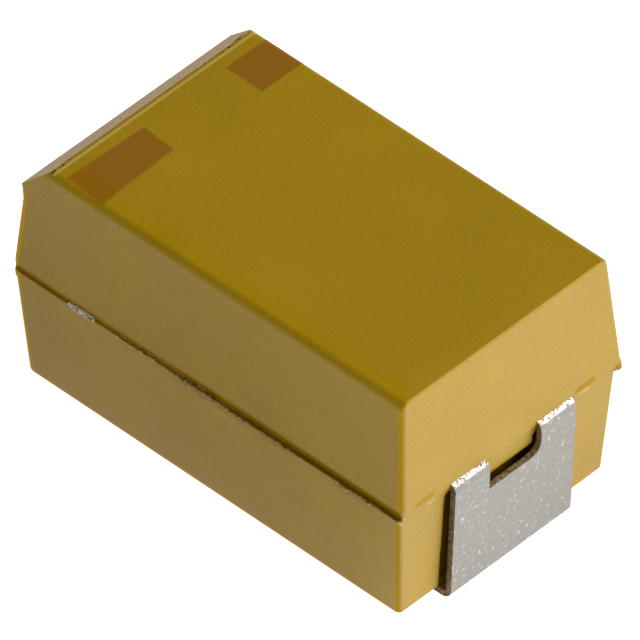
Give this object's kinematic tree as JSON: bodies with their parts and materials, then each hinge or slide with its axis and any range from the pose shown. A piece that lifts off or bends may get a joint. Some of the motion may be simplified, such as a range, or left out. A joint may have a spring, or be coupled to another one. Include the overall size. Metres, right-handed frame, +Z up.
{
  "type": "tantalum capacitor",
  "caption": "Moulded tantalum chip capacitor: drafted epoxy block with a polarity bevel, two etched marks and tinned strips folded under its ends as feet.",
  "frame": {"origin": "on the board plane, under the middle of the case: the bottom centre of the bounding box", "axes": "+Z up from the board, +X towards the cathode end, so the bevelled and marked anode end is at -X"},
  "size_m": [0.0074, 0.0043, 0.0041],
  "materials": {
    "epoxy": "moulded ochre epoxy, fine satin texture",
    "tinned_strip": "dull matte tin plate over nickel-iron strip",
    "sintered_tantalum": "sintered, porous, dark grey",
    "tantalum_wire": "drawn wire",
    "washer_plastic": "white fluoropolymer",
    "manganese_dioxide": "black crystalline coat",
    "graphite": "dull carbon coat",
    "silver_paint": "matte silver paint",
    "silver_adhesive": "silver-loaded epoxy"
  },
  "bodies": {
    "root": {"case": "epoxy", "cathode_lead": "tinned_strip", "anode_lead": "tinned_strip", "anode_slug": "sintered_tantalum", "anode_wire": "tantalum_wire", "washer": "washer_plastic", "manganese_dioxide_coat": "manganese_dioxide", "graphite_coat": "graphite", "silver_coat": "silver_paint", "cathode_adhesive": "silver_adhesive"}
  },
  "joints": []
}
